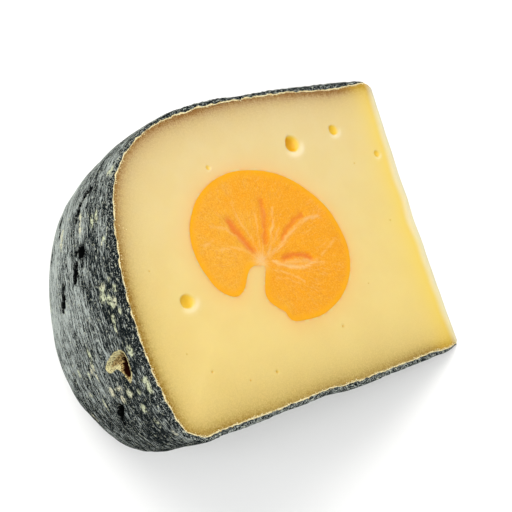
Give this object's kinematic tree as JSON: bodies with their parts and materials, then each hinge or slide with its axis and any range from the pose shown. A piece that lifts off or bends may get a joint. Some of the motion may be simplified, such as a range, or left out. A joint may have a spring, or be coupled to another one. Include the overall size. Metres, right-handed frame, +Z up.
{
  "type": "blue-rinded cheese wedge with orange fruit core",
  "caption": "Wedge of pale yellow cheese with a blue-grey bloomed rind, round eyes in the paste and an orange fruit filling that runs through it, lying on one cut face.",
  "frame": {"origin": "under the middle of the wedge's bounding box, on the plane of the cut face that it lies on", "axes": "+Z up; the wheel's axis runs along Y with its flat base towards -Y and its domed top towards +Y; +X from the rind's side wall to the tip"},
  "size_m": [0.1076, 0.083, 0.0759],
  "materials": {
    "paste": "satin",
    "fruit": "moist",
    "rind": "matt"
  },
  "bodies": {
    "root": {"cheese": "paste", "fruit_core": "fruit"}
  },
  "joints": []
}
